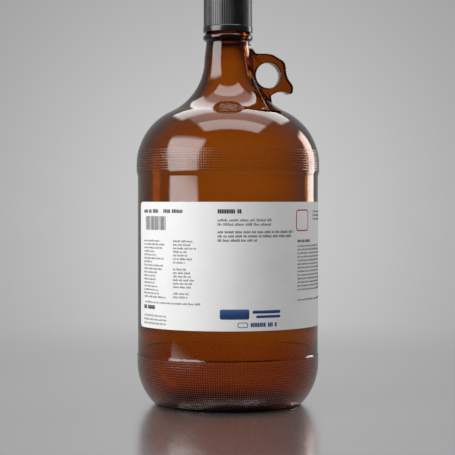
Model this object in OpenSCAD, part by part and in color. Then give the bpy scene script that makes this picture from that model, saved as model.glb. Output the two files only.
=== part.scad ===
// Four litre amber reagent bottle with a finger ring, a ribbed screw cap, its liner and a wrap label.
// Millimetres. The bottle stands on z = 0 with its axis on Z, and the finger ring points along +X.

/* [Bottle] */
// Height of the bottle's lip above the table
lip_h = 344.6; // [342:0.2:348]
// Radius of the plain label panel
panel_r = 77.3; // [76.8:0.1:77.4]
// Radius of the shoulder where it leaves the upper band
body_r = 78.2; // [77.8:0.1:78.6]
// Radius of the heel at its widest
heel_r = 77.6; // [77.5:0.1:78]
// Thickness of the glass wall
wall = 3; // [2.4:0.2:3.6]
// Thickness of the glass floor at the foot ring
floor_t = 5; // [4:0.5:7]
// How far the floor is pushed up at its middle
push_up = 4; // [2:0.5:6]
// How far the stippled bands stand proud
stipple_h = 0.4; // [0.3:0.1:0.5]

/* [Shoulder and neck] */
// Height at which the shoulder starts to curve in
shoulder_z = 205; // [203:0.5:206]
// Radius of the shoulder's outward curve
shoulder_round = 50; // [48:0.5:52]
// Radius of the curve that sweeps up into the neck
neck_sweep = 49; // [47:0.5:51]
// Radius of the neck where the sweep ends
neck_r = 20.2; // [20:0.1:20.6]
// Radius of the neck just under the bead
neck_top_r = 18.6; // [18.4:0.1:18.8]
// Radius of the bore through the neck
bore_r = 13.5; // [12.5:0.1:14]
// Radius of the rounded bead under the cap
bead_r = 21.3; // [21:0.1:21.6]

/* [Thread] */
// Radius of the plain finish between the threads
finish_r = 17.4; // [17.2:0.1:17.5]
// How far the glass thread stands out of the finish
thread_h = 1.2; // [1:0.1:1.3]
// Rise of the thread in one turn, six turns to the inch
pitch = 4.2333; // [4.2:0.0111:4.2666]
// Turns of thread on the bottle
thread_turns = 1.75; // [1.25:0.25:2]

/* [Finger ring] */
// Thickness of the finger ring across the bottle
ring_t = 14; // [12:0.5:15]
// Radius of the finger hole
finger_r = 10.9; // [10.4:0.1:11.2]
// Radius of the ring's rounded edges
ring_edge = 1.6; // [1:0.2:2]

/* [Cap] */
// Height of the cap
cap_h = 30.5; // [29:0.5:31]
// Radius over the cap's ribs
cap_r = 20.8; // [20.6:0.1:21]
// Number of ribs round the cap
ribs = 72; // [60:6:84]
// Depth of the grooves between the ribs
rib_h = 0.5; // [0.3:0.1:0.6]
// Height of the smooth band at the cap's lower edge
cuff_h = 6; // [5:0.5:7]
// Radius of the smooth band
cuff_r = 21.2; // [21:0.1:21.4]
// Radius inside the cap's skirt
skirt_r = 19; // [18.9:0.1:19.1]
// Thickness of the cap's top
cap_top_t = 2; // [1.6:0.1:2.2]

/* [Liner] */
// Radius of the liner
liner_r = 18.6; // [18:0.1:18.7]
// Thickness of the foamed disc
foam_t = 1.5; // [1.2:0.1:1.6]
// Thickness of the facing that meets the lip
facing_t = 0.2; // [0.1:0.05:0.3]

/* [Label] */
// Height of the label
label_h = 104.7; // [100:0.1:110]
// Length of the label round the bottle
label_w = 290; // [250:1:320]
// Height of the label's lower edge above the table
label_z = 68.4; // [60:0.2:72]
// Thickness of the label paper
label_t = 0.12; // [0.1:0.01:0.2]
// Radius of the label's corners
label_corner = 4; // [3:0.5:6]
// Angle from the bottle's front to the label's left edge
label_left = -80.5; // [-95:0.5:-70]

/* [Hidden] */

$fn = 144;

// how far a cutting tool runs past what it cuts, and the clearance between surfaces that would else coincide
past = 1;
eps = 0.02;

// arcs: the turn of one chord, on large curves and on curves under small_arc_r
arc_step = 2.5;
small_arc_step = 10;
small_arc_r = 10;

// heel and foot
heel_z = 36;
heel_round = 50;
heel_x = heel_r - heel_round;
foot_round = 2.5;
foot_flat = 2.5;
inner_foot_round = 6;

// bands and panel: a band steps back to the panel over band_step, and to the shoulder over band_fade degrees
lower_band_top = 43;
upper_band_low = 198.5;
upper_band_high = 218;
band_step = 0.5;
band_fade = 0.5;
floor_steps = 8;

// centres of the shoulder's two tangent curves, and the slope where they meet
shoulder_x = body_r - shoulder_round;
sweep_x = neck_r + neck_sweep;
sweep_z = shoulder_z + sqrt((shoulder_round + neck_sweep)^2 - (sweep_x - shoulder_x)^2);
shoulder_turn = atan2(sweep_z - shoulder_z, sweep_x - shoulder_x);
band_turn = asin((upper_band_high - shoulder_z) / shoulder_round);

// bead and finish
bead_round = 3.1;
bead_z = 313.4;
neck_top_z = bead_z - 5;
finish_z = bead_z + 6;
finish_slope = 1.5;
bore_low_z = 312;
lip_round = 1;

// threads: a ridge's half widths at its root and crest, how deep it is rooted, the share of its height
// at its ends, and the degrees over which it rises from there
ridge_root = 1.1;
ridge_crest = 0.5;
ridge_bury = 0.5;
ridge_end = 0.25;
ridge_fade = 35;
ridge_steps = 40;
thread_top_z = lip_h - 3.6;

// the cap's ridge: it hangs under the bottle's, a flank's clearance away
cap_ridge_r = finish_r + 0.4;
cap_ridge_turns = 1.25;
flank_gap = 0.15;
ridge_slope = (ridge_root - ridge_crest) / (thread_h + ridge_bury);
ridge_offset = ridge_root + ridge_crest - ridge_slope * (cap_ridge_r - finish_r + ridge_bury) + flank_gap;
cap_ridge_z = thread_top_z - pitch * (thread_turns - cap_ridge_turns) - ridge_offset;

// cap
cap_z = lip_h + facing_t + foam_t + cap_top_t - cap_h;
cap_edge = 1.8;
cuff_bevel = 0.6;
skirt_bevel = 0.6;
rib_root_share = 0.76;
rib_crest_share = 0.4;

// finger ring: its hole, and its outline as [x, z, corner radius]
finger_x = 34.2;
finger_z = 281.6;
ring_outline = [
    [15, 306.5, 0], [15, 262, 0], [28, 250, 0], [37, 257.4, 0], [36, 264.1, 3],
    [46.4, 269.4, 12], [55.1, 264.5, 2.2], [56.3, 272.2, 4], [50.4, 279.6, 16], [48.9, 292.9, 6],
    [36.8, 300.3, 14], [21.2, 300.2, 4.5], [18.7, 306.5, 0]
];
ring_slabs = 3;

// label: it lies on the panel, and its corners are cut in steps
label_r = panel_r + eps / 2;
label_angle = label_w / label_r * 180 / PI;
label_steps = 60;
corner_step = 15;

function unit(v) = v / norm(v);

// points on a circle about c from angle a to angle b
function arc(c, r, a, b) =
    let (n = ceil(abs(b - a) / (r < small_arc_r ? small_arc_step : arc_step)))
    [for (i = [0:n]) let (t = a + (b - a) * i / n) c + r * [cos(t), sin(t)]];

// one rounded corner of an outline at v = [x, y, radius], between its neighbours p and q
function corner(p, v, q) =
    let (
        a = unit([p.x - v.x, p.y - v.y]),
        b = unit([q.x - v.x, q.y - v.y]),
        half = acos(a * b) / 2,
        c = [v.x, v.y] + unit(a + b) * v.z / sin(half),
        from = [v.x, v.y] + a * v.z / tan(half) - c,
        turn = (a.x * b.y - a.y * b.x > 0 ? -1 : 1) * (180 - 2 * half),
        start = atan2(from.y, from.x)
    )
    v.z == 0 ? [[v.x, v.y]] : arc(c, v.z, start, start + turn);

function rounded(v) = [
    for (i = [0:len(v) - 1])
        each corner(v[(i + len(v) - 1) % len(v)], v[i], v[(i + 1) % len(v)])
];

// an outline that runs counter-clockwise, moved inwards by d
function inset(pts, d) = [
    for (i = [0:len(pts) - 1])
        let (
            p = pts[(i + len(pts) - 1) % len(pts)],
            q = pts[(i + 1) % len(pts)],
            t = unit(q - p)
        )
        pts[i] + d * [-t.y, t.x]
];

// heel from the floor's edge up to the panel, d inside the outer glass, with an edge of radius e at height z
function heel(d, z, e) =
    let (
        x = heel_x + sqrt((heel_round - d - e)^2 - (heel_z - z - e)^2),
        a = atan2(z + e - heel_z, x - heel_x)
    )
    concat(arc([x, z + e], e, -90, a), arc([heel_x, heel_z], heel_round - d, a, 0));

// shoulder and neck sweep, d inside the outer glass, from the angle a of the shoulder's curve
function shoulder(d, a) = concat(
    arc([shoulder_x, shoulder_z], shoulder_round - d, a, shoulder_turn),
    arc([sweep_x, sweep_z], neck_sweep + d, 180 + shoulder_turn, 180)
);

// floor pushed up at its middle, out to radius r at height z
function pushed_floor(r, z) = [
    for (i = [0:floor_steps])
        let (x = r * i / floor_steps)
        [x, z + push_up * (1 - (x / r)^2)]
];

foot_x = heel(0, 0, foot_round)[0].x - foot_flat;

outer = concat(
    pushed_floor(foot_x, 0),
    heel(-stipple_h, 0, foot_round),
    [
        [heel_r + stipple_h, lower_band_top],
        [panel_r, lower_band_top + band_step],
        [panel_r, upper_band_low - band_step],
        [body_r + stipple_h, upper_band_low]
    ],
    arc([shoulder_x, shoulder_z], shoulder_round + stipple_h, 0, band_turn),
    shoulder(0, band_turn + band_fade),
    [[neck_top_r, neck_top_z]],
    arc([bead_r - bead_round, bead_z], bead_round, -80, 80),
    [[neck_top_r, finish_z - finish_slope], [finish_r, finish_z]],
    arc([finish_r - lip_round, lip_h - lip_round], lip_round, 0, 90)
);

inner = concat(
    pushed_floor(heel(wall, floor_t, inner_foot_round)[0].x, floor_t),
    heel(wall, floor_t, inner_foot_round),
    shoulder(wall, 0),
    [[bore_r, bore_low_z]],
    arc([bore_r + lip_round, lip_h - lip_round], lip_round, 180, 90)
);

// a thread ridge on radius r, h high outwards, or inwards where h is below 0, that ends at z_top
function ridge_section(r, h, fade) =
    let (s = h > 0 ? 1 : -1, crest = r - s * ridge_bury + (h + s * ridge_bury) * fade)
    [
        [r - s * ridge_bury, -ridge_root],
        [crest, -ridge_crest * fade],
        [crest, ridge_crest * fade],
        [r - s * ridge_bury, ridge_root]
    ];

function ridge_points(r, h, z_top, turns) = [
    for (i = [0:ridge_steps * turns])
        let (
            a = 360 * i / ridge_steps,
            fade = min(1, ridge_end + min(a, 360 * turns - a) / ridge_fade)
        )
        for (p = ridge_section(r, h, fade))
            [p.x * cos(a), p.x * sin(a), z_top - pitch * (turns - a / 360) + p.y]
];

module ridge(r, h, z_top, turns) {
    n = ridge_steps * turns;
    flip = h > 0 ? 1 : -1;
    sides = [
        for (i = [0:n - 1])
            for (j = [0:3])
                let (a = 4 * i + j, b = 4 * i + (j + 1) % 4)
                flip > 0 ? [a, b, b + 4, a + 4] : [a + 4, b + 4, b, a]
    ];
    low = [3, 2, 1, 0];
    high = [4 * n, 4 * n + 1, 4 * n + 2, 4 * n + 3];
    ends = flip > 0 ? [low, high] : [[0, 1, 2, 3], [4 * n + 3, 4 * n + 2, 4 * n + 1, 4 * n]];
    polyhedron(ridge_points(r, h, z_top, turns), concat(sides, ends), convexity = 6);
}

module glass_bottle() {
    color([0.42, 0.19, 0.02])
        union() {
            rotate_extrude() polygon(concat(outer, [for (i = [len(inner) - 1:-1:0]) inner[i]]));
            ridge(finish_r, thread_h, thread_top_z, thread_turns);
        }
}

// the ring as nested slabs, the thicker the smaller, so that its edges step round
module ring_body() {
    outline = rounded(ring_outline);
    step = 90 / ring_slabs;
    for (i = [0:ring_slabs]) {
        half = ring_t / 2 - ring_edge + ring_edge * sin(i * step);
        drawn_in = ring_edge * (1 - cos(max(0, i - 0.5) * step));
        translate([0, half, 0])
            rotate([90, 0, 0]) linear_extrude(2 * half) polygon(inset(outline, drawn_in));
    }
}

// the finger hole with its rounded edges, along Y
module finger_hole() {
    half = ring_t / 2;
    mouth = finger_r + ring_edge;
    edge = arc([mouth, half - ring_edge], ring_edge, 180, 90);
    rotate([90, 0, 0])
        rotate_extrude()
            polygon(concat(
                [[0, -half - past], [mouth, -half - past]],
                [for (i = [len(edge) - 1:-1:0]) [edge[i].x, -edge[i].y]],
                edge,
                [[mouth, half + past], [0, half + past]]
            ));
}

module finger_ring() {
    color([0.40, 0.17, 0.02])
        difference() {
            ring_body();
            translate([finger_x, 0, finger_z]) finger_hole();
            rotate_extrude() polygon(concat(outer, [[0, lip_h]]));
        }
}

// the cap's section above the cuff: each rib is a low trapezium, a share of its pitch wide
module ribbed_side() {
    step = 360 / ribs;
    root = [cap_r - rib_h, rib_root_share / 2];
    crest = [cap_r, rib_crest_share / 2];
    polygon([
        for (i = [0:ribs - 1])
            for (p = [[root[0], -root[1]], [crest[0], -crest[1]], crest, root])
                p[0] * [cos((i + p[1]) * step), sin((i + p[1]) * step)]
    ]);
}

module cap_shell() {
    top = cap_z + cap_h;
    cuff_top = cap_z + cuff_h;
    seat = top - cap_top_t;
    color([0.03, 0.03, 0.03])
        union() {
            difference() {
                union() {
                    intersection() {
                        translate([0, 0, cuff_top - cuff_bevel])
                            linear_extrude(cap_h - cuff_h + cuff_bevel) ribbed_side();
                        rotate_extrude()
                            polygon(concat(
                                [[0, cap_z], [cap_r + eps, cap_z]],
                                arc([cap_r + eps - cap_edge, top - cap_edge], cap_edge, 0, 90),
                                [[0, top]]
                            ));
                    }
                    rotate_extrude()
                        polygon([
                            [0, cap_z], [cuff_r, cap_z], [cuff_r, cuff_top - cuff_bevel],
                            [cap_r - rib_h, cuff_top], [0, cuff_top]
                        ]);
                }
                rotate_extrude()
                    polygon([
                        [0, cap_z - past], [skirt_r + skirt_bevel, cap_z - past],
                        [skirt_r + skirt_bevel, cap_z],
                        [skirt_r, cap_z + skirt_bevel], [skirt_r, seat], [0, seat]
                    ]);
            }
            ridge(skirt_r, cap_ridge_r - skirt_r, cap_ridge_z, cap_ridge_turns);
        }
}

module liner_foam() {
    color([0.86, 0.86, 0.84])
        translate([0, 0, lip_h + facing_t]) cylinder(r = liner_r, h = foam_t);
}

module liner_facing() {
    color([0.95, 0.95, 0.95])
        translate([0, 0, lip_h]) cylinder(r = liner_r, h = facing_t);
}

// the label in upright strips: each entry is [distance from the left edge, how far the corner draws it in]
label_corner_steps = [
    for (t = [0:corner_step:90]) [label_corner * (1 - cos(t)), label_corner * (1 - sin(t))]
];
label_strips = concat(
    label_corner_steps,
    [for (i = [1:label_steps - 1]) [label_corner + (label_w - 2 * label_corner) * i / label_steps, 0]],
    [for (i = [len(label_corner_steps) - 1:-1:0])
        [label_w - label_corner_steps[i][0], label_corner_steps[i][1]]]
);

module label() {
    n = len(label_strips);
    // the strips' chords clear the glass
    inside = label_r / cos(label_angle / label_steps / 2);
    points = [
        for (s = label_strips)
            let (a = label_left - 90 + s[0] / label_r * 180 / PI)
            for (p = [[inside, 0], [inside + label_t, 0], [inside + label_t, 1], [inside, 1]])
                [
                    p.x * cos(a), p.x * sin(a),
                    label_z + (p.y > 0 ? label_h - s[1] : s[1])
                ]
    ];
    sides = [
        for (i = [0:n - 2])
            for (j = [0:3])
                let (a = 4 * i + j, b = 4 * i + (j + 1) % 4)
                [a, b, b + 4, a + 4]
    ];
    last = 4 * (n - 1);
    ends = [[3, 2, 1, 0], [last, last + 1, last + 2, last + 3]];
    color([0.93, 0.93, 0.92])
        polyhedron(points, concat(sides, ends), convexity = 6);
}

glass_bottle();
finger_ring();
cap_shell();
liner_foam();
liner_facing();
label();
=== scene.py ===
import bpy
import numpy as np
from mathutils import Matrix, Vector


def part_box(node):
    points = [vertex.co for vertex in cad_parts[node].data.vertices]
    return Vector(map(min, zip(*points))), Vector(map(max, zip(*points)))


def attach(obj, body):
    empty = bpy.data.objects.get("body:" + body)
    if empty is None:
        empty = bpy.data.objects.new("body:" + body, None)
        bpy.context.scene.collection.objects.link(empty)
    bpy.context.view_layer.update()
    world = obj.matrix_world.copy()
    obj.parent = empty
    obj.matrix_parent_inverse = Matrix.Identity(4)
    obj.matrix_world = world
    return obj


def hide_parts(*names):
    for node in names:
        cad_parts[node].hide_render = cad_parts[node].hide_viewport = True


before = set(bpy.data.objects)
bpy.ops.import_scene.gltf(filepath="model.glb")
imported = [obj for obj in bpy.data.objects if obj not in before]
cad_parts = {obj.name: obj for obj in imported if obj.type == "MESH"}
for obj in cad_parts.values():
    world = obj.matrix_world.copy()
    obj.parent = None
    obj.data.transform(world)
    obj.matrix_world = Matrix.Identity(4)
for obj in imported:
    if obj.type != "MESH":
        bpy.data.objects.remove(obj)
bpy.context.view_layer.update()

MM = 0.001
TURN = 2 * np.pi

# glass bottle
LIP_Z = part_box("glass_bottle")[1].z / MM
WALL = 3.0
HEEL_WALL = 5.0
FLOOR = 5.0
PUSH_UP = 4.0
PANEL_R = 77.3
BAND_R = 78.2
HEEL_R = 77.6
HEEL_Z = 36.0
HEEL_ROUND = 50.0
FOOT_ROUND = 2.5
FOOT_FLAT = 2.5
INNER_FOOT_ROUND = 6.0
INNER_SIDE_Z = 55.0
SHOULDER_Z = 205.0
SHOULDER_ROUND = 50.0
SHOULDER_X = BAND_R - SHOULDER_ROUND
NECK_R = 20.2
NECK_TOP_R = 18.6
NECK_TOP_Z = 308.4
SWEEP = 49.0
SWEEP_X = NECK_R + SWEEP
SWEEP_Z = SHOULDER_Z + np.sqrt((SHOULDER_ROUND + SWEEP) ** 2 - (SWEEP_X - SHOULDER_X) ** 2)
SHOULDER_TURN = np.degrees(np.arctan2(SWEEP_Z - SHOULDER_Z, SWEEP_X - SHOULDER_X))
BEAD_R = 21.3
BEAD_ROUND = 3.1
BEAD_Z = 313.4
FINISH_R = 17.4
FINISH_Z = 319.4
FINISH_SLOPE = 1.5
BORE_R = 13.5
BORE_Z = 312.0
LIP_ROUND = 1.0
FLOOR_SHARES = [0.12, 0.3, 0.5, 0.7, 0.88]

# stippled bands: rows and columns of small dots, each from its edge over its middle to its other edge, as
# shares of the pitch
DOT_COLUMNS = 240
DOT_PITCH = 2.06
DOT_H = 0.16
DOT_AT = np.array([-0.32, 0.0, 0.32])
DOT_ANGLES = (np.arange(DOT_COLUMNS)[:, None] + DOT_AT).ravel() * TURN / DOT_COLUMNS
UPPER_ROWS = 9
LOWER_ROWS = 21
UPPER_BAND_LOW = 198.5
LOWER_BAND_TOP = 43.0
BAND_RIM = 0.5
BAND_STEP = 4.2

# columns of points round each part of the glass
PLAIN = 144
INNER = 72
UNDER = 36

# thread
THREAD_H = 1.2
THREAD_PITCH = 25.4 / 6
THREAD_TURNS = 1.75
THREAD_TOP = LIP_Z - 3.6
THREAD_HALF = 1.1
THREAD_BURY = 0.5
THREAD_FADE = 35.0

# finger ring: corners as [x, z, corner radius], from the neck over the arm and round the thumb rest
RING_HALF = 7.0
RING_EDGE = 0.8
RING_FLARE = 1.8
RING_FLARE_STEEPEST = np.radians(60)
RING_BURY = 1.4
RING_POINTS = 110
RING_NECK_POINTS = 44
HOLE_X = 34.2
HOLE_Z = 281.6
HOLE_R = 10.9
RING_CORNERS = [
    [18.2, 308.0, 0], [21.2, 300.2, 4.5], [36.8, 300.3, 14], [48.9, 292.9, 6], [50.4, 279.6, 16],
    [56.3, 272.2, 4], [55.1, 264.5, 2.2], [46.4, 269.4, 12], [36.0, 264.1, 3], [37.6, 255.6, 0],
]

# cap
CAP_LOW, CAP_HIGH = (corner.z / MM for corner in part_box("cap_shell"))
CAP_R = 20.8
CAP_EDGE = 1.8
CAP_TOP_T = 2.0
RIBS = 72
RIB_H = 0.17
RIB_COLUMNS = 8 * RIBS
RIB_POWER = 10
CUFF_H = 5.2
CUFF_R = 21.2
CUFF_BEVEL = 0.6
SKIRT_R = 19.0
CAP_RIDGE_R = 17.8
CAP_RIDGE_TURNS = 1.25

# label
LABEL_LOW, LABEL_HIGH = (corner.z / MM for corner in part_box("label"))
LABEL_IN = PANEL_R + 0.02
LABEL_T = 0.12
LABEL_W = 290.0
LABEL_LEFT = -80.5
LABEL_CORNER = 4.0
LABEL_OUT = LABEL_IN + LABEL_T
INK_T = 0.03
INK_OUT = LABEL_OUT + INK_T
SMALL_PRINT = 1.7


class Value:
    """A socket in a node tree. Arithmetic on it adds Math nodes."""

    def __init__(self, nodes, socket):
        self.nodes = nodes
        self.socket = socket

    def math(self, operation, first, second):
        return self.nodes.add("ShaderNodeMath", {0: first, 1: second}, operation=operation)

    def __add__(self, other):
        return self.math("ADD", self, other)

    def __sub__(self, other):
        return self.math("SUBTRACT", self, other)

    def __rsub__(self, other):
        return self.math("SUBTRACT", other, self)

    def __mul__(self, other):
        return self.math("MULTIPLY", self, other)

    __radd__ = __add__
    __rmul__ = __mul__


class Nodes:
    """A node tree under construction, cleared to begin with: add() puts in a node with its settings and
    the values or links of its sockets."""

    def __init__(self, tree, place):
        self.tree = tree
        self.tree.nodes.clear()
        self.place = self.add("ShaderNodeTexCoord", out=place)

    def put(self, socket, value):
        if isinstance(value, Value):
            self.tree.links.new(value.socket, socket)
        else:
            socket.default_value = value

    def add(self, kind, inputs=None, out=0, **settings):
        node = self.tree.nodes.new(kind)
        for name, value in settings.items():
            setattr(node, name, value)
        for name, value in (inputs or {}).items():
            self.put(node.inputs[name], value)
        return Value(self, node.outputs[out])

    def noise(self, scale, detail=2.0, rough=0.5):
        inputs = {"Vector": self.place, "Scale": scale, "Detail": detail, "Roughness": rough}
        return self.add("ShaderNodeTexNoise", inputs)

    def along(self, direction):
        """The place's distance along a direction."""
        inputs = {0: self.place, 1: direction}
        return self.add("ShaderNodeVectorMath", inputs, out="Value", operation="DOT_PRODUCT")

    def vector(self, operation, first, second=(0, 0, 0)):
        return self.add("ShaderNodeVectorMath", {0: first, 1: second}, operation=operation)

    def length(self, vector):
        return self.add("ShaderNodeVectorMath", {0: vector}, out="Value", operation="LENGTH")

    def smooth(self, value, low, high):
        """0 below low, 1 above high and a smooth step between."""
        inputs = {"Value": value, "From Min": low, "From Max": high}
        return self.add("ShaderNodeMapRange", inputs, interpolation_type="SMOOTHSTEP")

    def blend(self, amount, first, second):
        inputs = {"Factor": amount, 6: first, 7: second}
        return self.add("ShaderNodeMix", inputs, out=2, data_type="RGBA")

    def bump(self, height, distance):
        return self.add("ShaderNodeBump", {"Height": height, "Distance": distance})

    def finish(self, kind, shader, socket="Surface"):
        """Ends the tree in an output node of that kind."""
        found = [node for node in self.tree.nodes if node.bl_idname == kind]
        output = found[0] if found else self.tree.nodes.new(kind)
        self.tree.links.new(shader.socket, output.inputs[socket])


class Finish(Nodes):
    """A material under construction, on Object coordinates. surface() sets its shader."""

    def __init__(self, name):
        self.material = bpy.data.materials.new(name)
        self.material.use_nodes = True
        super().__init__(self.material.node_tree, "Object")

    def surface(self, **inputs):
        named = {name.replace("_", " "): value for name, value in inputs.items()}
        self.shader = self.add("ShaderNodeBsdfPrincipled", named)
        self.finish("ShaderNodeOutputMaterial", self.shader)
        return self.material


def colour(red, green, blue):
    return (red, green, blue, 1.0)


def amber_glass():
    """Amber glass: tinted as light passes its surfaces and deeper with its thickness, with faint striae and
    a film of handling marks."""
    m = Finish("amber_glass")
    marks = m.smooth(m.noise(38.0, 4.0, 0.6), 0.52, 0.78)
    striae = m.smooth(m.noise(14.0, 2.0), 0.3, 0.7)
    tint = m.blend(striae, colour(0.79, 0.47, 0.11), colour(0.83, 0.505, 0.13))
    ripple = m.bump(m.noise(26.0, 1.0), 0.00012)
    dots = m.smooth(m.add("ShaderNodeAttribute", {}, out="Fac", attribute_name="stipple"), 0.1, 0.5)
    absorb = m.add("ShaderNodeVolumeAbsorption", {"Color": colour(0.926, 0.838, 0.64), "Density": 1000.0})
    m.finish("ShaderNodeOutputMaterial", absorb, "Volume")
    return m.surface(
        Base_Color=tint, Transmission_Weight=1.0, IOR=1.5, Roughness=marks * 0.03 + dots * 0.285 + 0.004,
        Normal=ripple, Coat_Weight=dots, Coat_Roughness=0.3, Coat_IOR=1.5
    )


def black_plastic():
    """Moulded black plastic with a fine spark texture and a little dust-grey in its sheen."""
    m = Finish("black_plastic")
    grain = m.noise(2600.0, 2.0)
    wear = m.smooth(m.noise(120.0, 3.0), 0.4, 0.75)
    base = m.blend(wear, colour(0.007, 0.007, 0.008), colour(0.013, 0.013, 0.014))
    return m.surface(
        Base_Color=base, Roughness=wear * 0.05 + 0.16, Normal=m.bump(grain, 0.00002), IOR=1.5
    )


def foam_liner():
    """White foamed polyethylene: fine closed cells that show as a pitted skin."""
    m = Finish("liner_foam")
    cells = m.add("ShaderNodeTexVoronoi", {"Vector": m.place, "Scale": 2200.0})
    base = m.blend(m.smooth(cells, 0.1, 0.7), colour(0.70, 0.70, 0.67), colour(0.80, 0.80, 0.78))
    return m.surface(Base_Color=base, Roughness=0.75, Normal=m.bump(cells, 0.00008))


def film_facing():
    """White fluoropolymer film, slightly glossy, with fine skive lines across it."""
    m = Finish("liner_facing")
    lines = m.add("ShaderNodeTexWave", {"Vector": m.place, "Scale": 700.0, "Distortion": 2.0, "Detail": 2.0})
    base = m.blend(lines, colour(0.80, 0.80, 0.79), colour(0.85, 0.85, 0.84))
    return m.surface(Base_Color=base, Roughness=lines * 0.05 + 0.28, Normal=m.bump(lines, 0.00001))


def label_paper():
    """Coated white label stock: faint fibre clouding, satin sheen and a slight tooth."""
    m = Finish("label_paper")
    fibre = m.noise(900.0, 4.0, 0.65)
    cloud = m.smooth(m.noise(60.0, 3.0), 0.3, 0.7)
    base = m.blend(cloud, colour(0.735, 0.735, 0.73), colour(0.76, 0.76, 0.755))
    return m.surface(Base_Color=base, Roughness=fibre * 0.12 + 0.40, Normal=m.bump(fibre, 0.00001))


def ink(name, shade, light):
    """Printing ink, a little uneven in its cover."""
    m = Finish(name)
    cover = m.smooth(m.noise(1500.0, 3.0, 0.6), 0.35, 0.8)
    return m.surface(Base_Color=m.blend(cover, shade, light), Roughness=cover * 0.1 + 0.42)


def outward(points, faces):
    """A closed shell's faces, turned round if its signed volume, a sixth of the sum of a . (b x c) over its
    triangles, is below zero."""
    volume = 0.0
    for group in faces:
        a = points[group[:, 0]]
        for k in range(1, group.shape[1] - 1):
            volume += np.einsum("ij,ij->i", a, np.cross(points[group[:, k]], points[group[:, k + 1]])).sum()
    return [group[:, ::-1] for group in faces] if volume < 0 else faces


def joined(shells):
    """Several shells of (points, faces) as one, each one's faces moved on by the points before it."""
    points, faces, start = [], [], 0
    for shell_points, shell_faces in shells:
        points.append(shell_points)
        faces += [group + start for group in shell_faces]
        start += len(shell_points)
    return np.concatenate(points), faces


def new_object(name, shell, material):
    """A smooth mesh object from one shell of points in millimetres and faces."""
    points, faces = shell
    mesh = bpy.data.meshes.new(name)
    mesh.from_pydata((points * MM).tolist(), [], [face for group in faces for face in group.tolist()])
    mesh.shade_smooth()
    mesh.materials.append(material)
    made = bpy.data.objects.new(name, mesh)
    bpy.context.scene.collection.objects.link(made)
    return made


def piece(made, body, slot, *nodes, sharp=None):
    """Puts a finished object on its body and hides the nodes that it stands for. Edges that turn more than
    sharp degrees stay crisp. slot is not used."""
    if sharp:
        made.data.set_sharp_from_angle(angle=np.radians(sharp))
    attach(made, body)
    if nodes:
        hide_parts(*nodes)


def arc(centre, radius, start, end, step=2.5):
    """Points on a circle about centre from angle start to angle end, in degrees, a chord each step."""
    count = max(3, int(np.ceil(abs(end - start) / step)) + 1)
    turn = np.radians(np.linspace(start, end, count))
    return np.column_stack([centre[0] + radius * np.cos(turn), centre[1] + radius * np.sin(turn)])


def rounded(corners, step=12.0):
    """An open outline whose inner corners [x, z, radius] are replaced by arcs tangent to both sides: the
    arc's centre lies on the corner's bisector, radius / sin(half the corner) from it."""
    corners = np.array(corners, float)
    points = [corners[0, :2]]
    for before, here, after in zip(corners[:-2], corners[1:-1], corners[2:]):
        a = before[:2] - here[:2]
        b = after[:2] - here[:2]
        a /= np.linalg.norm(a)
        b /= np.linalg.norm(b)
        half = np.arccos(a @ b) / 2
        centre = here[:2] + (a + b) / np.linalg.norm(a + b) * here[2] / np.sin(half)
        first = here[:2] + a * here[2] / np.tan(half) - centre
        sweep = (180 - 2 * np.degrees(half)) * (-1 if a[0] * b[1] - a[1] * b[0] > 0 else 1)
        start = np.degrees(np.arctan2(first[1], first[0]))
        points += list(arc(centre, here[2], start, start + sweep, step))
    points.append(corners[-1, :2])
    return np.array(points)


def along(path, places):
    """Points along a path: at distances from its start, or where places is a count, so many evenly."""
    steps = np.linalg.norm(np.diff(path, axis=0), axis=1)
    distance = np.concatenate([[0], np.cumsum(steps)])
    if np.isscalar(places):
        places = np.linspace(0, distance[-1], places)
    return np.column_stack([np.interp(places, distance, path[:, k]) for k in range(2)])


def ring_faces(first, second, low, high):
    """Faces between two rings round the axis. first and second are the index of each ring's first point,
    low and high their point counts, of which one divides the other: quads where they agree, triangles from
    each point of the coarser ring to its share of the finer one, or triangles to a single middle point."""
    j = np.arange(min(low, high))
    k = (j + 1) % len(j)
    if low == high:
        return [np.column_stack([first + j, first + k, second + k, second + j])]
    j = np.arange(max(low, high))
    if low == 1:
        return [np.column_stack([np.full(high, first), second + (j + 1) % high, second + j])]
    if high == 1:
        return [np.column_stack([first + j, first + (j + 1) % low, np.full(low, second)])]
    share = max(low, high) // min(low, high)
    j = np.arange(min(low, high))
    faces = []
    for m in range(share):
        here = share * j + m
        there = (here + 1) % max(low, high)
        hub = j if m < share // 2 else k
        if low < high:
            faces.append(np.column_stack([first + hub, second + there, second + here]))
        else:
            faces.append(np.column_stack([first + here, first + there, second + hub]))
    middle = share * j + share // 2
    if low < high:
        faces.append(np.column_stack([first + j, first + k, second + middle]))
    else:
        faces.append(np.column_stack([first + middle, second + k, second + j]))
    return faces


def even(columns):
    """Angles of that many points round the axis."""
    return np.arange(columns) * TURN / columns


def revolved(stretches, relief=None):
    """A closed shell turned round the Z axis. Each stretch is (outline points, angles): its points
    (radius, height) become rings of points r cos a, r sin a, z. relief(outline, angles), where given,
    returns how far each point moves out and up. The outline starts and ends on the axis with stretches of
    one angle."""
    points, faces, start, before = [], [], 0, None
    for outline, angle in stretches:
        columns = len(angle)
        radius = np.repeat(outline[:, :1], columns, axis=1)
        height = np.repeat(outline[:, 1:], columns, axis=1)
        if relief:
            out, up = relief(outline, angle)
            radius = radius + out
            height = height + up
        rings = np.stack([radius * np.cos(angle), radius * np.sin(angle), height], axis=-1)
        points.append(rings.reshape(-1, 3))
        for row in range(len(outline)):
            here = start + row * columns
            if before:
                faces += ring_faces(before[0], here, before[1], columns)
            before = (here, columns)
        start += len(outline) * columns
    return np.concatenate(points), faces


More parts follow.
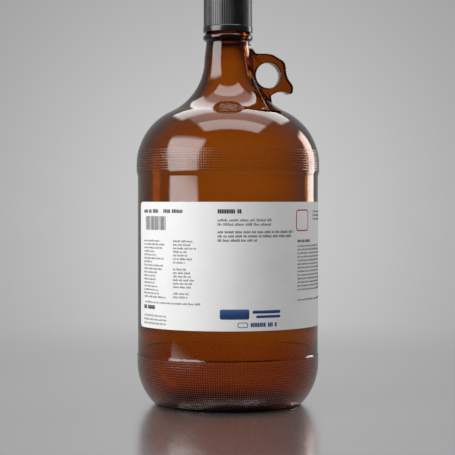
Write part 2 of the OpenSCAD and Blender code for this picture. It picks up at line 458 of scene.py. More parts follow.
def heel(inside, low, edge, step):
    """Outline from the floor's edge up the heel's curve, inside the outer glass by so much, with an edge
    rounded to that radius at height low."""
    x = HEEL_R - HEEL_ROUND + np.sqrt((HEEL_ROUND - inside - edge) ** 2 - (HEEL_Z - low - edge) ** 2)
    start = np.degrees(np.arctan2(low + edge - HEEL_Z, x - HEEL_R + HEEL_ROUND))
    foot = arc([x, low + edge], edge, -90, start, 12)
    return foot, arc([HEEL_R - HEEL_ROUND, HEEL_Z], HEEL_ROUND - inside, start, 0, step)


def shoulder(inside, start, step=2.5):
    """Outline over the shoulder's outward curve and up the neck's inward sweep, which meet on a tangent."""
    over = arc([SHOULDER_X, SHOULDER_Z], SHOULDER_ROUND - inside, start, SHOULDER_TURN, step)
    up = arc([SWEEP_X, SWEEP_Z], SWEEP + inside, 180 + SHOULDER_TURN, 180, step)
    return np.concatenate([over, up[1:]])


def pushed_floor(radius, height, shares):
    """The floor, raised at its middle by a parabola: z = height + PUSH_UP (1 - (r / radius)^2)."""
    shares = np.array(shares)
    return np.column_stack([radius * shares, height + PUSH_UP * (1 - shares**2)])


def straight(low, high, count):
    return np.column_stack([np.linspace(low[k], high[k], count) for k in range(2)])


def dot_places(count):
    """Where the edges and middles of so many dots in a row lie, in pitches from the row's start."""
    return (np.arange(count)[:, None] + 0.5 + DOT_AT).ravel()


def bottle_outline():
    """The glass from the middle of its underside, up outside, over the lip and down inside to its floor, as
    stretches of (points, angles)."""
    foot, curve = heel(0.0, 0.0, FOOT_ROUND, 1.0)
    foot_x = foot[0, 0] - FOOT_FLAT

    # the lower band's rows end just under the ledge
    side = np.concatenate([curve, [[HEEL_R, LOWER_BAND_TOP - BAND_RIM]]])
    lower = along(side[::-1], dot_places(LOWER_ROWS) * DOT_PITCH)[::-1]
    ledge = np.array([
        [HEEL_R + 0.25, LOWER_BAND_TOP - 0.45], [HEEL_R + 0.38, LOWER_BAND_TOP],
        [HEEL_R + 0.3, LOWER_BAND_TOP + 0.4], [HEEL_R + 0.05, LOWER_BAND_TOP + 0.8],
        [PANEL_R + 0.08, LOWER_BAND_TOP + 1.3], [PANEL_R, LOWER_BAND_TOP + 2.0],
    ])
    rise = np.linspace(0, 1, 7)
    step = np.column_stack([
        PANEL_R + (BAND_R - PANEL_R) * rise**2 * (3 - 2 * rise), UPPER_BAND_LOW + BAND_STEP * (rise - 1)
    ])
    panel = straight(ledge[-1], step[0], 9)[1:-1]

    # the upper band runs up the straight side and onto the shoulder
    band_start = UPPER_BAND_LOW + BAND_RIM
    band_turn = np.degrees((UPPER_ROWS * DOT_PITCH - (SHOULDER_Z - band_start)) / SHOULDER_ROUND)
    over = arc([SHOULDER_X, SHOULDER_Z], SHOULDER_ROUND, 0, band_turn, 0.5)
    upper = along(np.concatenate([[[BAND_R, band_start]], over]), dot_places(UPPER_ROWS) * DOT_PITCH)

    neck = straight([NECK_R, SWEEP_Z], [NECK_TOP_R, NECK_TOP_Z], 9)[1:]
    bead = arc([BEAD_R - BEAD_ROUND, BEAD_Z], BEAD_ROUND, -80, 80, 10)
    finish = np.array([[NECK_TOP_R, FINISH_Z - FINISH_SLOPE], [FINISH_R, FINISH_Z], [FINISH_R, LIP_Z - 12]])
    lip = arc([FINISH_R - LIP_ROUND, LIP_Z - LIP_ROUND], LIP_ROUND, 0, 90, 15)
    mouth = arc([BORE_R + LIP_ROUND, LIP_Z - LIP_ROUND], LIP_ROUND, 90, 180, 15)
    bore = np.array([[BORE_R, LIP_Z - 16], [BORE_R, BORE_Z], [BORE_R + 0.7, BORE_Z - 4]])

    inner_foot, inner_curve = heel(HEEL_WALL, FLOOR, INNER_FOOT_ROUND, 2.5)
    inner_side = straight([PANEL_R - WALL, INNER_SIDE_Z], [PANEL_R - WALL, step[0, 1] - 4], 24)
    inner_step = step - [WALL, 0]
    inside = np.concatenate([inner_foot[:-1], inner_curve, inner_side, inner_step, shoulder(WALL, 0)])[::-1]
    floor = pushed_floor(inner_foot[0, 0], FLOOR, FLOOR_SHARES[::-1])
    return [
        (pushed_floor(foot_x, 0.0, [0.0]), even(1)),
        (pushed_floor(foot_x, 0.0, FLOOR_SHARES), even(UNDER)),
        (np.concatenate([pushed_floor(foot_x, 0.0, [1.0]), foot]), even(PLAIN)),
        (lower, DOT_ANGLES),
        (np.concatenate([ledge, panel, step]), even(PLAIN)),
        (upper, DOT_ANGLES),
        (np.concatenate([shoulder(0.0, band_turn + 1.0), neck, bead, finish, lip]), even(PLAIN)),
        (np.concatenate([mouth, bore, inside]), even(INNER)),
        (floor, even(UNDER)),
        (pushed_floor(inner_foot[0, 0], FLOOR, [0.0]), even(1)),
    ]


def stipple(outline, angle):
    """1 where a dot's middle lies, else 0: in the bands, where every third row and column cross."""
    if len(angle) != len(DOT_ANGLES):
        return np.zeros((len(outline), len(angle)))
    row, column = np.indices((len(outline), len(angle))) % len(DOT_AT)
    return 1.0 * (row == 1) * (column == 1)


def glass_relief(outline, angle):
    """Moves the dots' middles out along the outline's normal by DOT_H, and lets the inside wander by
    0.2 sin(2a + z / 37) + 0.12 sin(3a - z / 23 + 1) millimetres, less towards the floor and the bore."""
    still = np.zeros((len(outline), len(angle)))
    if len(angle) == len(DOT_ANGLES):
        along_outline = np.gradient(outline, axis=0)
        along_outline /= np.linalg.norm(along_outline, axis=1)[:, None]
        dots = DOT_H * stipple(outline, angle)
        return dots * along_outline[:, 1:], -dots * along_outline[:, :1]
    if len(angle) == INNER:
        z = outline[:, 1:]
        wander = 0.2 * np.sin(2 * angle + z / 37) + 0.12 * np.sin(3 * angle - z / 23 + 1)
        share = np.clip((z - 12) / 25, 0, 1) * np.clip((BORE_Z - 6 - z) / 40, 0, 1)
        return wander * share, still
    return still, still


def outer_r(z):
    """The outer radius at heights on the neck and its sweep."""
    sweep = SWEEP_X - np.sqrt(np.maximum(SWEEP**2 - (SWEEP_Z - np.minimum(z, SWEEP_Z)) ** 2, 0))
    taper = (NECK_R - NECK_TOP_R) * np.clip((z - SWEEP_Z) / (NECK_TOP_Z - SWEEP_Z), 0, 1)
    return sweep - taper


def off_glass(x, y, z):
    """How far a point lies outside the neck or its sweep."""
    r = np.hypot(x, y)
    curved = SWEEP - np.hypot(r - SWEEP_X, z - SWEEP_Z)
    return np.where(z < SWEEP_Z, curved, r - outer_r(z))


def finger_ring():
    """The finger ring as one closed grid round its hole. At each of the outline's points a line runs to the
    hole; across that line goes a rounded section, as thick as the ring and flared where it nears the glass:
    flare - sqrt(flare^2 - (flare - d)^2) at distance d, carried on straight once it is steep. The outline's
    neck side lies buried in the wall, at x = sqrt(r^2 - y^2)."""
    outer = rounded(RING_CORNERS)
    low = np.degrees(np.arctan2(outer[-1, 1] - SWEEP_Z, outer[-1, 0] - SWEEP_X)) % 360
    neck_side = np.concatenate([
        arc([SWEEP_X, SWEEP_Z], SWEEP + RING_BURY, low, 180, 3),
        [[outer_r(outer[0, 1]) - RING_BURY, outer[0, 1]]],
    ])
    outer = along(outer, RING_POINTS)
    neck_side = along(neck_side, RING_NECK_POINTS)[1:-1]
    outline = np.concatenate([outer, neck_side])
    buried = np.arange(len(outline)) >= len(outer)

    # each outline point's partner on the hole, never turning back
    seen = np.unwrap(np.arctan2(outline[:, 1] - HOLE_Z, outline[:, 0] - HOLE_X))
    turning = -1 if seen[-1] < seen[0] else 1
    seen = turning * np.maximum.accumulate(turning * seen)
    seen = seen[0] + turning * np.linspace(0, 1, len(seen)) * 0.02 + (seen - seen[0])
    hole = np.column_stack([HOLE_X + HOLE_R * np.cos(seen), HOLE_Z + HOLE_R * np.sin(seen)])
    length = np.linalg.norm(hole - outline, axis=1)[:, None]
    edge = np.minimum(RING_EDGE, 0.45 * length)

    # the section from the middle of the outline's side, over the front face, to the middle of the hole's
    bend = np.radians(np.linspace(0, 90, 6))
    across = np.linspace(0, 1, 15)[1:-1]
    from_side = np.concatenate([
        edge * 0,
        edge * (1 - np.cos(bend)),
        edge + (length - 2 * edge) * across,
        length - edge * (1 - np.cos(bend[::-1])),
        length,
    ], axis=1)
    half = np.concatenate([
        edge * 0,
        RING_HALF - edge + edge * np.sin(bend),
        RING_HALF + 0 * length * across,
        RING_HALF - edge + edge * np.sin(bend[::-1]),
        length * 0,
    ], axis=1)
    share = from_side / length
    columns = share.shape[1]

    def placed(half):
        """Points at each share of the way to the hole, the buried side following the neck round."""
        side_x = np.repeat(outline[:, :1], columns, axis=1)
        side_x = np.where(buried[:, None], np.sqrt(np.maximum(side_x**2 - half**2, 1)), side_x)
        x = side_x + (hole[:, :1] - side_x) * share
        z = outline[:, 1:] + (hole[:, 1:] - outline[:, 1:]) * share
        return x, z

    x, z = placed(half)
    distance = off_glass(x, half, z)
    steep = RING_FLARE * (1 - np.sin(RING_FLARE_STEEPEST))
    near = np.clip(RING_FLARE - distance, 0, RING_FLARE - steep)
    flare = RING_FLARE - np.sqrt(RING_FLARE**2 - near**2)
    flare += np.tan(RING_FLARE_STEEPEST) * np.clip(steep - distance, 0, steep + RING_BURY)
    half = half + flare * (half > 0) * np.clip(half / RING_HALF, 0, 1)
    x, z = placed(half)
    front = np.stack([x, -half, z], axis=-1)
    back = np.stack([x, half, z], axis=-1)[:, -2:0:-1]
    grid = np.concatenate([front, back], axis=1)
    return closed_grid(grid)


def closed_grid(grid):
    """Faces of a grid that closes on itself both ways."""
    rows, columns = grid.shape[:2]
    index = np.arange(rows * columns).reshape(rows, columns)
    right, up = np.roll(index, -1, axis=1), np.roll(index, -1, axis=0)
    faces = np.stack([index, right, np.roll(right, -1, axis=0), up], axis=-1).reshape(-1, 4)
    points = grid.reshape(-1, 3)
    return points, outward(points, [faces])


def thread_ridge(radius, height, top, turns):
    """A helical ridge: at angle a the section rises by pitch a / 360, and its rounded crest stands height out
    of the radius (inwards if below 0), fading into it over THREAD_FADE degrees at each end."""
    rows = int(48 * turns) + 1
    angle = np.linspace(0, 360 * turns, rows)
    fade = np.sqrt(np.clip(0.05 + np.minimum(angle, angle[-1] - angle) / THREAD_FADE, 0, 1))
    side = np.sign(height)
    width = np.array([-1.0, -0.8, -0.45, 0.0, 0.45, 0.8, 1.0]) * THREAD_HALF
    lift = np.array([0.0, 0.55, 0.95, 1.0, 0.95, 0.55, 0.0])
    base = radius - side * THREAD_BURY
    r = base + (radius + height - base) * lift * fade[:, None]
    z = top - THREAD_PITCH * (turns - angle[:, None] / 360) + width * (0.4 + 0.6 * fade[:, None])
    a = np.radians(angle)[:, None]
    points = np.stack([r * np.cos(a), r * np.sin(a), z], axis=-1)
    count = len(width)
    index = np.arange(rows * count).reshape(rows, count)
    right = np.roll(index, -1, axis=1)
    faces = np.stack([index[:-1], right[:-1], right[1:], index[1:]], axis=-1).reshape(-1, 4)
    points = points.reshape(-1, 3)
    return points, outward(points, [faces, index[:1, ::-1], index[-1:]])


def union(base, tool):
    """Makes base the union of two closed meshes, and removes the tool."""
    cut = base.modifiers.new("union", "BOOLEAN")
    cut.operation = "UNION"
    cut.solver = "MANIFOLD"
    cut.object = tool
    shown = base.evaluated_get(bpy.context.evaluated_depsgraph_get())
    mesh = bpy.data.meshes.new_from_object(shown)
    base.modifiers.clear()
    old, base.data = base.data, mesh
    mesh.shade_smooth()
    bpy.data.meshes.remove(old)
    bpy.data.objects.remove(tool)


def crisp_dots(mesh):
    """Marks the edges between the dots' faces, which have a dot's middle at a corner, and the flats."""
    raised = np.zeros(len(mesh.vertices))
    mesh.attributes["stipple"].data.foreach_get("value", raised)
    corner, edge = np.zeros((2, len(mesh.loops)), int)
    first = np.zeros(len(mesh.polygons), int)
    mesh.loops.foreach_get("vertex_index", corner)
    mesh.loops.foreach_get("edge_index", edge)
    mesh.polygons.foreach_get("loop_start", first)
    sloped = np.maximum.reduceat(raised[corner], first) > 0.5
    sizes = np.diff(np.append(first, len(corner)))
    share = np.bincount(edge, weights=np.repeat(sloped, sizes), minlength=len(mesh.edges))
    mesh.edges.foreach_set("use_edge_sharp", share == 1)


def make_bottle():
    """The bottle, with its ring and its thread united with it and its dots' edges crisp."""
    glass = amber_glass()
    stretches = bottle_outline()
    bottle = new_object("amber_bottle", revolved(stretches, glass_relief), glass)
    dots = np.concatenate([stipple(outline, angle).ravel() for outline, angle in stretches])
    bottle.data.attributes.new("stipple", "FLOAT", "POINT").data.foreach_set("value", dots)
    additions = joined([finger_ring(), thread_ridge(FINISH_R, THREAD_H, THREAD_TOP, THREAD_TURNS)])
    union(bottle, new_object("ring_and_thread", additions, glass))
    crisp_dots(bottle.data)
    piece(bottle, "bottle", "amber_glass", "glass_bottle", "finger_ring")
    return bottle


def rib_relief(outline, angle):
    """Ribs round the cap's side: each rib's crest is 1 - u^RIB_POWER, nearly flat, where u runs from 0 at
    its middle to 1 in the groove beside it. The grooves run out where the side meets the cuff and the
    top."""
    still = np.zeros((len(outline), len(angle)))
    if len(angle) != RIB_COLUMNS:
        return still, still
    phase = angle * RIBS / TURN % 1
    crest = 1 - (2 * phase - 1) ** RIB_POWER
    low = np.clip((outline[:, 1] - CAP_LOW - CUFF_H + 0.3) / 0.5, 0, 1)
    high = np.clip((CAP_HIGH - 0.7 - outline[:, 1]) / 1.2, 0, 1)
    depth = RIB_H * (low * high)[:, None] * (1 - crest)
    return -depth, still


def make_cap():
    """The cap from the middle of its inside, down the skirt, round the cuff, up the ribs and over the top."""
    seat = CAP_HIGH - CAP_TOP_T
    cuff_top = CAP_LOW + CUFF_H
    inside = np.array([
        [9.0, seat], [SKIRT_R - 1.0, seat], [SKIRT_R - 0.3, seat - 0.15], [SKIRT_R, seat - 0.6],
        [SKIRT_R, seat - 12], [SKIRT_R, CAP_LOW + 0.7], [SKIRT_R + 0.3, CAP_LOW + 0.2],
        [SKIRT_R + 0.6, CAP_LOW],
    ])
    cuff = np.concatenate([
        [[CUFF_R - 0.5, CAP_LOW]],
        arc([CUFF_R - 0.4, CAP_LOW + 0.4], 0.4, -70, 0, 24),
        [[CUFF_R, cuff_top - CUFF_BEVEL - 0.2], [CUFF_R - 0.06, cuff_top - CUFF_BEVEL]],
        [[CAP_R - 0.05, cuff_top - 0.1]],
    ])
    corner = arc([CAP_R - CAP_EDGE, CAP_HIGH - CAP_EDGE], CAP_EDGE, 0, 84, 12)
    side = np.concatenate([
        [[CAP_R, cuff_top + 0.1], [CAP_R, cuff_top + 0.4]],
        straight([CAP_R, cuff_top + 0.6], corner[0], 5),
        corner[1:],
    ])
    top = np.array([
        [CAP_R - CAP_EDGE - 0.4, CAP_HIGH], [CAP_R - CAP_EDGE - 1.1, CAP_HIGH - 0.08],
        [CAP_R - CAP_EDGE - 1.5, CAP_HIGH - 0.35], [CAP_R - CAP_EDGE - 2.2, CAP_HIGH - 0.4],
        [8.0, CAP_HIGH - 0.4], [2.2, CAP_HIGH - 0.4], [1.6, CAP_HIGH - 0.6],
    ])
    stretches = [
        (np.array([[0.0, seat]]), even(1)), (inside, even(2 * RIBS)), (cuff, even(2 * RIBS)),
        (side, even(RIB_COLUMNS)), (top, even(2 * RIBS)), (np.array([[0.0, CAP_HIGH - 0.62]]), even(1)),
    ]
    shell = revolved(stretches, rib_relief)
    under = THREAD_TOP - THREAD_PITCH * (THREAD_TURNS - CAP_RIDGE_TURNS) - THREAD_PITCH / 2
    ridge = thread_ridge(SKIRT_R, CAP_RIDGE_R - SKIRT_R, under, CAP_RIDGE_TURNS)
    plastic = black_plastic()
    cap = new_object("ribbed_cap", shell, plastic)
    union(cap, new_object("cap_thread", ridge, plastic))
    piece(cap, "cap", "black_plastic", "cap_shell", sharp=50)
    return cap


def disc(name, node, edge, material):
    """A thin disc in a node's place, with a rounded rim."""
    low, high = (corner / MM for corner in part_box(node))
    radius = high.x
    rim = np.concatenate([
        arc([radius - edge, low.z + edge], edge, -90, 0, 30),
        arc([radius - edge, high.z - edge], edge, 0, 90, 30),
    ])
    stretches = [
        (np.array([[0.0, low.z]]), even(1)),
        (np.concatenate([[[radius * 0.5, low.z]], rim, [[radius * 0.5, high.z]]]), even(96)),
        (np.array([[0.0, high.z]]), even(1)),
    ]
    piece(new_object(name, revolved(stretches), material), "liner", node, node, sharp=60)


def wrapped(s, t, r):
    """Places distances s from the label's left edge and t below its top on a cylinder of radius r."""
    angle = np.radians(LABEL_LEFT - 90) + s / LABEL_IN
    return np.stack([r * np.cos(angle), r * np.sin(angle), LABEL_HIGH - t + 0 * s], axis=-1)


def sheet(left, top, width, height, corner, low_r, high_r, step=2.0):
    """A thin closed sheet wrapped on the bottle, with rounded corners: upright strips whose ends are drawn
    in by corner (1 - sin u) at corner (1 - cos u) from either side."""
    u = np.radians(np.linspace(0, 90, 7))
    turned = np.column_stack([corner * (1 - np.cos(u)), corner * (1 - np.sin(u))])
    count = max(2, int(np.ceil((width - 2 * corner) / step)) + 1)
    middle = np.linspace(corner, width - corner, count)[1:-1]
    if corner:
        s = np.concatenate([turned[:, 0], middle, width - turned[::-1, 0]])
        drawn = np.concatenate([turned[:, 1], 0 * middle, turned[::-1, 1]])
    else:
        s = np.linspace(0, width, count)
        drawn = 0 * s
    rows = np.linspace(0, 1, max(2, int(np.ceil(height / 12)) + 1))
    t = drawn[:, None] + (height - 2 * drawn[:, None]) * rows
    s = s[:, None] + 0 * t
    front = wrapped(left + s, top + t, high_r)
    back = wrapped(left + s, top + t, low_r)[:, ::-1]
    return tube(np.concatenate([front, back], axis=1))


def tube(grid):
    """A grid of section rings along a path, closed round each ring and capped at both ends."""
    rows, columns = grid.shape[:2]
    index = np.arange(rows * columns).reshape(rows, columns)
    right = np.roll(index, -1, axis=1)
    faces = [np.stack([index[:-1], right[:-1], right[1:], index[1:]], axis=-1).reshape(-1, 4)]
    half = columns // 2
    for row, flip in ((0, 1), (rows - 1, -1)):
        ring = index[row]
        across = ring[::-1][: half]
        cap = np.column_stack([ring[:half - 1], across[:half - 1], across[1:half], ring[1:half]])
        faces.append(cap if flip > 0 else cap[:, ::-1])
    points = grid.reshape(-1, 3)
    return points, outward(points, faces)


def frame_plate(left, top, width, height, corner, band):
    """A closed rounded frame of printing ink, band wide: an outline carried round, each section a thin
    box."""
    radii = [LABEL_OUT, INK_OUT, INK_OUT, LABEL_OUT]
    u = np.radians(np.arange(0, 360, 15) + 7.5)
    side_s = np.where(np.cos(u) > 0, width - corner, corner)
    side_t = np.where(np.sin(u) > 0, height - corner, corner)

    def loop(inset, r):
        s = side_s + (corner - inset) * np.cos(u)
        t = side_t + (corner - inset) * np.sin(u)
        return wrapped(left + s, top + t, r)

    grid = np.stack([loop(inset, r) for inset, r in zip([0, 0, band, band], radii)], axis=1)
    # long sides take more sections, so that they follow the round glass
    steps = 6
    share = np.arange(steps)[:, None, None] / steps
    grid = (grid[:, None] * (1 - share) + np.roll(grid, -1, axis=0)[:, None] * share).reshape(-1, 4, 3)
    radius = np.linalg.norm(grid[..., :2], axis=-1, keepdims=True)
    grid[..., :2] *= np.array(radii)[None, :, None] / radius
    return closed_grid(grid)


def letter_blocks(rng, lines):
    """Stand-in text: each line is (left, top, length, cap height, boldness). Its letters are upright blocks
    of uneven width and height, in words of three to nine with a space between, as boxes of eight points."""
    boxes = []
    for left, top, length, height, bold in lines:
        at = left
        while at < left + length:
            for _ in range(rng.integers(3, 9)):
                width = height * rng.uniform(0.35, 0.62)
                lift = rng.choice([0.0, 0.0, 0.28, 0.28, 0.28]) * (1 - bold)
                if at + width > left + length:
                    break
                boxes.append([at, top + lift * height, width * (0.62 + 0.2 * bold), height * (1 - lift)])
                at += width
            at += height * 0.5
    left, top, width, height = np.array(boxes).T
    s = np.stack([left, left + width, left + width, left], axis=1)
    t = np.stack([top, top, top + height, top + height], axis=1)
    low = wrapped(s, t, LABEL_OUT)
    high = wrapped(s, t, INK_OUT)
    points = np.concatenate([high, low], axis=1).reshape(-1, 3)
    start = 8 * np.arange(len(left))[:, None, None]
    box = np.array([[0, 3, 2, 1], [4, 5, 6, 7], [0, 1, 5, 4], [1, 2, 6, 5], [2, 3, 7, 6], [3, 0, 4, 7]])
    return points, outward(points, [(start + box).reshape(-1, 4)])


def bars(rows, corner=0.0):
    """Solid printed bars, each (left, top, width, height)."""
    return [sheet(*row, corner, LABEL_OUT, INK_OUT) for row in rows]


def make_label():
    """The paper and its print. The print is blocks and bars in the places that such a label fills, each
    row of it placed from the paper's top left corner."""
    paper = new_object(
        "wrap_label",
        sheet(0, 0, LABEL_W, LABEL_HIGH - LABEL_LOW, LABEL_CORNER, LABEL_IN, LABEL_OUT),
        label_paper(),
    )
    piece(paper, "bottle", "label_paper", "label", sharp=40)
    rng = np.random.default_rng(7)

    small = SMALL_PRINT
    body = [(8.8, 31.2 + 2.9 * row, rng.uniform(14, 32), small, 0) for row in range(17)]
    values = [(48.2, 31.2 + 2.9 * row, rng.uniform(12, 22), small, 0) for row in range(7)]
    values += [(48.2, 54.2 + 2.9 * row, rng.uniform(13, 22), small, 0) for row in range(6)]
    values += [(48.2, 74.0 + 2.9 * row, rng.uniform(13, 18), small, 0) for row in range(2)]
    notes = [(8.7, 93.2 + 3.2 * row, 33, small, 0) for row in range(3)] + [(10.8, 82.2, 64, small, 0)]
    middle = [(87.5, 13.6 + 3.5 * row, 46, 2.2, 0) for row in range(2)]
    middle += [(87.5, 23.4, 68, 2.0, 0.4), (87.5, 26.8, 66, 2.0, 0.4), (87.5, 30.2, 33, 2.0, 0.4)]
    right = [(160.4, 31.2, 20, 2.2, 1)]
    right += [(160.4, 35.4 + 3.0 * row, rng.uniform(44, 56), small, 0) for row in range(13)]
    right += [(222, 35.4 + 3.0 * row, rng.uniform(44, 56), small, 0) for row in range(13)]
    right += [(222, 31.2, 24, 2.2, 1), (185.5, 7.0, 60, small, 0), (185.5, 10.2, 72, small, 0)]
    right += [(185.5, 13.4, 50, small, 0), (160.4, 80.0, 60, small, 0), (222, 80.0, 50, small, 0)]
    grey = new_object("small_print", letter_blocks(rng, body + values + notes + middle + right),
                      ink("grey_ink", colour(0.10, 0.10, 0.10), colour(0.16, 0.16, 0.16)))
    piece(grey, "bottle", "label_paper")

    bold = [(8.9, 6.0, 24, 3.1, 0.6), (37.5, 6.0, 21, 3.1, 0.6), (8.7, 85.6, 20, 3.2, 1)]
    bold += [(87.5, 6.0, 20.5, 3.4, 1)]
    at, stripes = 12.2, []
    while at < 40:
        width = rng.choice([0.35, 0.35, 0.7, 1.05])
        stripes.append((at, 11.8, width, 11.4))
        at += width + rng.choice([0.4, 0.4, 0.75])
    black = new_object("bold_print", joined([letter_blocks(rng, bold)] + bars(stripes)),
                       ink("black_ink", colour(0.025, 0.025, 0.03), colour(0.05, 0.05, 0.055)))
    piece(black, "bottle", "label_paper")

    navy = ink("navy_ink", colour(0.012, 0.05, 0.17), colour(0.02, 0.07, 0.21))
    mark = bars([(89.2, 87.0, 24, 8.2)], 1.6) + bars([(116, 88.0, 25, 2.6), (119, 92.0, 22, 2.2)], 1.0)
    mark += [frame_plate(103.6, 97.6, 8.6, 4.4, 1.8, 0.6)]
    mark += [letter_blocks(rng, [(114.5, 98.0, 25, 3.4, 1)])]
    piece(new_object("navy_print", joined(mark), navy), "bottle", "label_paper")

    red = ink("red_ink", colour(0.48, 0.03, 0.03), colour(0.56, 0.05, 0.04))
    square = frame_plate(158.4, 6.2, 18.0, 18.0, 3.0, 1.1)
    piece(new_object("red_frame", square, red), "bottle", "label_paper")


# camera and floor, in metres and degrees
VIEW_AZIMUTH = -9.5
VIEW_TILT = -1.0
VIEW_PAN = 0.016
VIEW_DISTANCE = 1.263
VIEW_HEIGHT = 0.1731
LENS = 116.3
FLOOR_R = 0.9
FLOOR_FADE_R = 0.38

# levels of the room's light, and of the pools of light behind the bottle, seen past it and through it: in
# the pool's middle and round it, with how far up that middle lies and how far the pool spreads
ROOM_LIGHT = 0.54
ROOM_DARK = 0.06
BACKDROP_MIDDLE = 0.603
BACKDROP_ROUND = 0.352
BACKDROP_UP = -0.010
BACKDROP_SPREAD = 0.26
THROUGH_MIDDLE = 0.55
THROUGH_ROUND = 0.07
THROUGH_UP = 0.05
THROUGH_SPREAD = 0.24

# key softbox and overhead panel, each with a sheen lamp behind it, in metres and degrees from the camera's
# azimuth
KEY_AZIMUTH = -57.5
KEY_DISTANCE = 0.955
KEY_SHEEN_DISTANCE = 0.965
KEY_HEIGHT = 0.475
KEY_TILT = 60.0
KEY_ROLL = -7.0
KEY_SIZE = (0.92, 1.12)
KEY_EDGE = (0.12, 0.2)
PANEL_ASIDE = 0.095
PANEL_BACK = -0.255
PANEL_HEIGHT = 1.34
PANEL_SHEEN_HEIGHT = 1.36
PANEL_SIZE = (1.33, 0.62)
PANEL_EDGE = (0.1, 0.12)
LEVEL = (0.0, 0.0, 0.0)


def toward(azimuth, distance, height):
    """A point at an azimuth from the front, counter-clockwise seen from above."""
    a = np.radians(azimuth)
    return Vector((distance * np.sin(a), -distance * np.cos(a), height))


def make_camera():
    data = bpy.data.cameras.new("camera")
    data.lens = LENS
    camera = bpy.data.objects.new("camera", data)
    bpy.context.scene.collection.objects.link(camera)
    camera.location = toward(VIEW_AZIMUTH, VIEW_DISTANCE, VIEW_HEIGHT)
    camera.rotation_euler = (np.radians(90 + VIEW_TILT), 0, np.radians(VIEW_AZIMUTH + VIEW_PAN))
    bpy.context.scene.camera = camera


def grey(level):
    return colour(level, level, level)


def floor_metal():
    """Satin metal bench top with faint cloudy wear, which fades out towards its rim."""
    m = Finish("floor_metal")
    cloud = m.smooth(m.noise(5.0, 3.0), 0.3, 0.7)
    radius = m.length(m.place)
    m.surface(
        Base_Color=m.blend(cloud, grey(0.92), grey(0.96)), Metallic=0.95, Roughness=cloud * 0.03 + 0.19
    )
    metal = m.shader
    clear = m.add("ShaderNodeBsdfTransparent", {})
    faded = m.add("ShaderNodeMixShader", {0: m.smooth(radius, FLOOR_FADE_R, FLOOR_R), 1: metal, 2: clear})
    m.finish("ShaderNodeOutputMaterial", faded)
    return m.material


def make_stage():
    """The floor: a disc on z = 0."""
    angle = even(96)
    rim = np.column_stack([np.cos(angle), np.sin(angle), 0 * angle]) * FLOOR_R / MM
    floor = new_object("floor", (rim, [np.arange(len(angle))[None, :]]), floor_metal())


def softbox(name, place, turn, size, radiance, edge):
    """A rectangular lamp of even radiance with round, soft corners, that dims over its outermost edge
    metres, (across, up). place is (aside, back, up) as seen from the camera; turn is its tilt up from
    straight down, its roll and its azimuth from the camera's."""
    data = bpy.data.lights.new(name, "AREA")
    data.shape = "RECTANGLE"
    data.size, data.size_y = size
    data.energy = radiance * np.pi * size[0] * size[1]
    data.use_nodes = True
    m = Nodes(data.node_tree, "Normal")
    spot = m.add("ShaderNodeNewGeometry", {}, out="Parametric")
    spot = m.vector("SUBTRACT", m.vector("MULTIPLY", spot, (*size, 0)), (size[0] / 2, size[1] / 2, 0))
    corner = (size[0] / 2 - edge[0], size[1] / 2 - edge[1], 0)
    past = m.vector("MAXIMUM", m.vector("SUBTRACT", m.vector("ABSOLUTE", spot), corner), (0, 0, 0))
    mask = m.smooth(1 - m.length(m.vector("DIVIDE", past, (*edge, 1))), 0.0, 1.0)
    m.finish("ShaderNodeOutputLight", m.add("ShaderNodeEmission", {"Strength": mask}))
    lamp = bpy.data.objects.new(name, data)
    bpy.context.scene.collection.objects.link(lamp)
    a = np.radians(VIEW_AZIMUTH)
    aside, back, up = place
    lamp.location = (aside * np.cos(a) - back * np.sin(a), aside * np.sin(a) + back * np.cos(a), up)
    tilt, roll, azimuth = turn
    lamp.rotation_euler = np.radians([tilt, roll, azimuth + VIEW_AZIMUTH])
    return lamp


def make_world():
    """The studio round the bottle. The camera sees a pale backdrop with a pool of light behind the bottle,
    and surfaces reflect that too, dimmer towards the camera's end of the room. Light that has come through
    the glass shows a pool of its own, and what lights the bottle is an even grey."""
    world = bpy.data.worlds.new("studio")
    world.use_nodes = True
    m = Nodes(world.node_tree, "Generated")

    def pool(up, middle, rim, spread):
        """Light that falls from its middle, up above the horizon, to its rim's level over its spread."""
        away = m.length(m.vector("SUBTRACT", m.place, toward(VIEW_AZIMUTH + 180, 1.0, up)))
        return m.blend(m.smooth(away, 0.0, spread), grey(middle), grey(rim))

    backdrop = pool(BACKDROP_UP, BACKDROP_MIDDLE, BACKDROP_ROUND, BACKDROP_SPREAD)
    front = m.smooth(m.along(toward(VIEW_AZIMUTH, 1.0, 0.0)), -0.9, 0.5)
    mirrored = m.blend(front, backdrop, grey(ROOM_DARK))
    path = m.add("ShaderNodeLightPath", {}, out="Is Glossy Ray")
    shown = m.blend(path, grey(ROOM_LIGHT), mirrored)
    straight_on = m.add("ShaderNodeLightPath", {}, out="Is Camera Ray")
    through = m.add("ShaderNodeLightPath", {}, out="Is Transmission Ray")
    shown = m.blend(through, shown, pool(THROUGH_UP, THROUGH_MIDDLE, THROUGH_ROUND, THROUGH_SPREAD))
    shown = m.blend(straight_on, shown, backdrop)
    m.finish("ShaderNodeOutputWorld", m.add("ShaderNodeBackground", {"Color": shown}))
    bpy.context.scene.world = world


def standing(azimuth, distance, up, tilt=90, roll=0):
    """Place and turn of a lamp that stands at an azimuth from the camera's and faces the axis. Below 90 its
    tilt leans it over the bottle, and its roll turns it round the way it faces."""
    a = np.radians(azimuth)
    return (distance * np.sin(a), -distance * np.cos(a), up), (tilt, roll, azimuth)


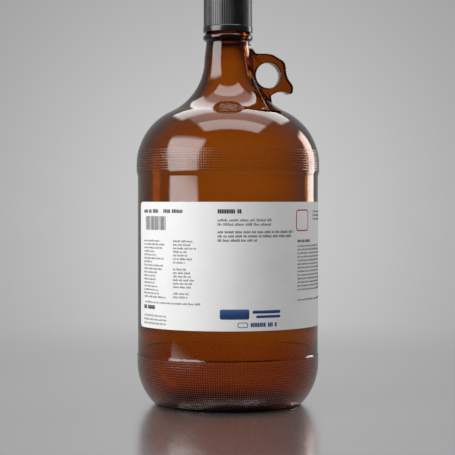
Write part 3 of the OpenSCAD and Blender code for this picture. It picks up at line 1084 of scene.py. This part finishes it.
def make_lights(glossy_pieces):
    """A key softbox on the left that leans over, a strip behind on the right, a panel overhead and a fill
    on the right. Only the glossy pieces take the strip's light and the sheens', and the sheens show in
    those pieces' reflections alone. A sheen lamp hangs a little behind its lamp, because of two lamps in
    one plane only one is met."""
    receivers = bpy.data.collections.new("glossy_pieces")
    for made in glossy_pieces:
        receivers.objects.link(made)

    def key_stand(distance):
        return standing(KEY_AZIMUTH, distance, KEY_HEIGHT, KEY_TILT, KEY_ROLL)

    def panel_place(height):
        return (PANEL_ASIDE, PANEL_BACK, height)

    key = softbox("key_softbox", *key_stand(KEY_DISTANCE), KEY_SIZE, 4.6, KEY_EDGE)
    strip = softbox("rear_strip", *standing(124, 0.6, 0.30), (0.22, 0.54), 4.6, (0.03, 0.08))
    top = softbox("overhead_fill", panel_place(PANEL_HEIGHT), LEVEL, PANEL_SIZE, 2.0, PANEL_EDGE)
    side = softbox("side_fill", *standing(112, 0.9, 0.4), (0.5, 0.8), 1.7, (0.1, 0.1))
    key.visible_glossy = False
    side.visible_glossy = False
    strip.light_linking.receiver_collection = receivers
    for lamp in (key, top, side):
        lamp.visible_transmission = False

    front = panel_place(PANEL_SHEEN_HEIGHT)
    for sheen in (
        softbox("key_sheen", *key_stand(KEY_SHEEN_DISTANCE), KEY_SIZE, 7.1, KEY_EDGE),
        softbox("front_panel_sheen", front, LEVEL, PANEL_SIZE, 3.1, PANEL_EDGE),
        softbox("middle_panel_sheen", (0.08, 0.25, 1.38), LEVEL, (1.40, 0.60), 1.3, (0.1, 0.1)),
        softbox("rear_panel_sheen", (0.11, 0.98, 1.34), LEVEL, (1.74, 1.15), 3.5, (0.12, 0.2)),
    ):
        sheen.visible_transmission = False
        sheen.visible_diffuse = False
        sheen.light_linking.receiver_collection = receivers


make_world()
make_camera()
make_stage()
make_lights([make_bottle(), make_cap()])
disc("foam_disc", "liner_foam", 0.35, foam_liner())
disc("facing_film", "liner_facing", 0.08, film_facing())
make_label()
bpy.context.scene.view_settings.view_transform = "Standard"
